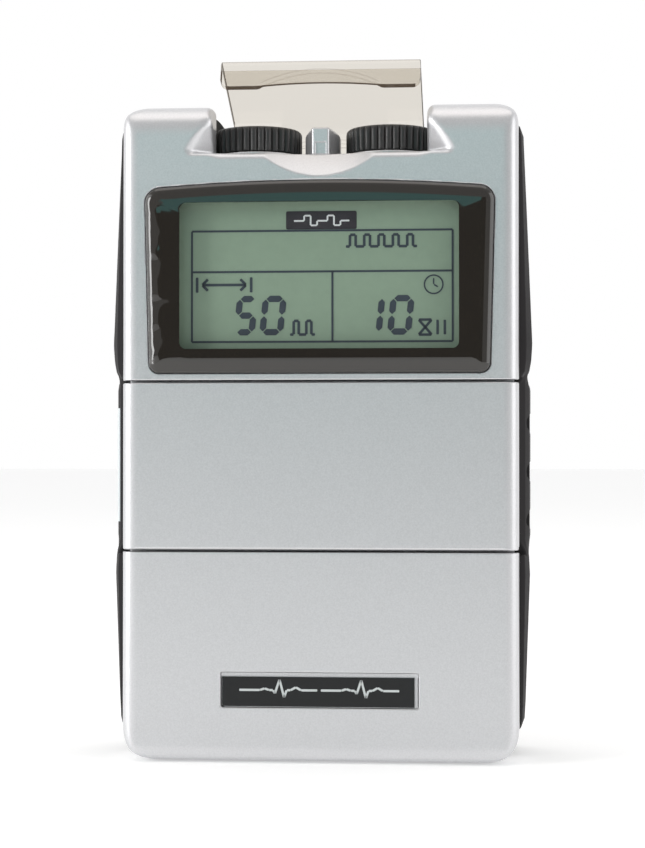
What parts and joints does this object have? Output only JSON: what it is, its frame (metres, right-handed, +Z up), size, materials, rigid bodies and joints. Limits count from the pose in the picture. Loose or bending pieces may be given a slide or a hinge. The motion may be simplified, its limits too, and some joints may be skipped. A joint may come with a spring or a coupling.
{
  "type": "tens unit",
  "caption": "Pocket nerve stimulator with a display, flip-down panel over its buttons, level knobs under a hinged clear guard, and a belt clip.",
  "frame": {"origin": "centre of the base that it stands on", "axes": "+Z up the unit towards the knobs, +Y from the display towards the belt clip, +X to the right of someone facing the display"},
  "size_m": [0.0653, 0.0307, 0.1081],
  "materials": {
    "silver_paint": "fine metallic paint, satin",
    "black_shell": "fine moulded texture",
    "grip_rubber": "soft-touch matt",
    "knob_plastic": "moulded, grooved rim",
    "smoke_clear": "clear smoky plastic, polished",
    "lens": "polished, printed border round a clear window",
    "lcd": "grey-green liquid crystal glass",
    "name_print": "black with a pale wave line",
    "label": "printed film",
    "steel": "bright drawn wire",
    "screw_steel": "zinc plated",
    "board": "green solder mask",
    "chip": "moulded epoxy",
    "capacitor": "sleeved",
    "core": "ferrite",
    "copper": "enamelled wire",
    "contact": "nickel plated",
    "gold": "gold flashed pins",
    "button": "matt silicone",
    "socket": "moulded",
    "pot": "moulded phenolic",
    "frame_white": "moulded",
    "zebra": "elastomer",
    "battery_can": "printed sleeve",
    "ribbon": "woven ribbon"
  },
  "bodies": {
    "case": {"front_case": "silver_paint", "rear_case": "black_shell", "grip_left": "grip_rubber", "grip_right": "grip_rubber", "door_wire": "steel", "pot_left": "pot", "pot_right": "pot", "control_board": "board", "board_header": "gold", "display_lens": "lens", "lcd_glass": "lcd", "lcd_frame": "frame_white", "zebra_strip": "zebra", "nameplate": "name_print", "side_label": "label", "main_board": "board", "board_chips": "chip", "capacitors": "capacitor", "transformer_cores": "core", "transformer_windings": "copper", "tact_switches": "chip", "socket_left": "socket", "socket_right": "socket", "battery": "battery_can", "battery_contacts": "contact", "battery_ribbon": "ribbon", "clip_pin": "steel", "clip_spring": "steel", "case_screws": "screw_steel", "board_screws": "screw_steel"},
    "flip_panel": {"panel_door": "silver_paint"},
    "guard": {"guard_cover": "smoke_clear"},
    "left_level": {"knob_left": "knob_plastic", "pot_shaft_left": "steel"},
    "right_level": {"knob_right": "knob_plastic", "pot_shaft_right": "steel"},
    "mode_button": {"button_mode": "button"},
    "set_button": {"button_set": "button"},
    "down_button": {"button_down": "button"},
    "up_button": {"button_up": "button"},
    "battery_cover": {"battery_door": "black_shell"},
    "clip": {"belt_clip": "black_shell"}
  },
  "joints": [
    {"name": "panel_hinge", "type": "hinge", "parent": "case", "child": "flip_panel", "pos_m": [0, -0.0106, 0.0335], "axis": [1, 0, 0], "range_deg": [0, 90]},
    {"name": "guard_hinge", "type": "hinge", "parent": "case", "child": "guard", "pos_m": [0, 0.00885, 0.0956], "axis": [-1, 0, 0], "range_deg": [-23, 67]},
    {"name": "left_level_turn", "type": "hinge", "parent": "case", "child": "left_level", "pos_m": [-0.0105, -0.00075, 0.096], "axis": [0, 0, -1], "range_deg": [-40, 250]},
    {"name": "right_level_turn", "type": "hinge", "parent": "case", "child": "right_level", "pos_m": [0.0105, -0.00075, 0.096], "axis": [0, 0, -1], "range_deg": [-40, 250]},
    {"name": "mode_press", "type": "slide", "parent": "case", "child": "mode_button", "axis": [0, 1, 0], "range_m": [0, 0.0006], "stiffness_N_per_m": 2500},
    {"name": "set_press", "type": "slide", "parent": "case", "child": "set_button", "axis": [0, 1, 0], "range_m": [0, 0.0006], "stiffness_N_per_m": 2500},
    {"name": "down_press", "type": "slide", "parent": "case", "child": "down_button", "axis": [0, 1, 0], "range_m": [0, 0.0006], "stiffness_N_per_m": 2500},
    {"name": "up_press", "type": "slide", "parent": "case", "child": "up_button", "axis": [0, 1, 0], "range_m": [0, 0.0006], "stiffness_N_per_m": 2500},
    {"name": "battery_door_slide", "type": "slide", "parent": "case", "child": "battery_cover", "axis": [0, 0, -1], "range_m": [0, 0.034]},
    {"name": "clip_hinge", "type": "hinge", "parent": "case", "child": "clip", "pos_m": [0, 0.01435, 0.084], "axis": [1, 0, 0], "range_deg": [0, 12], "stiffness_Nm_per_rad": 0.05, "springref_deg": -5.73}
  ]
}
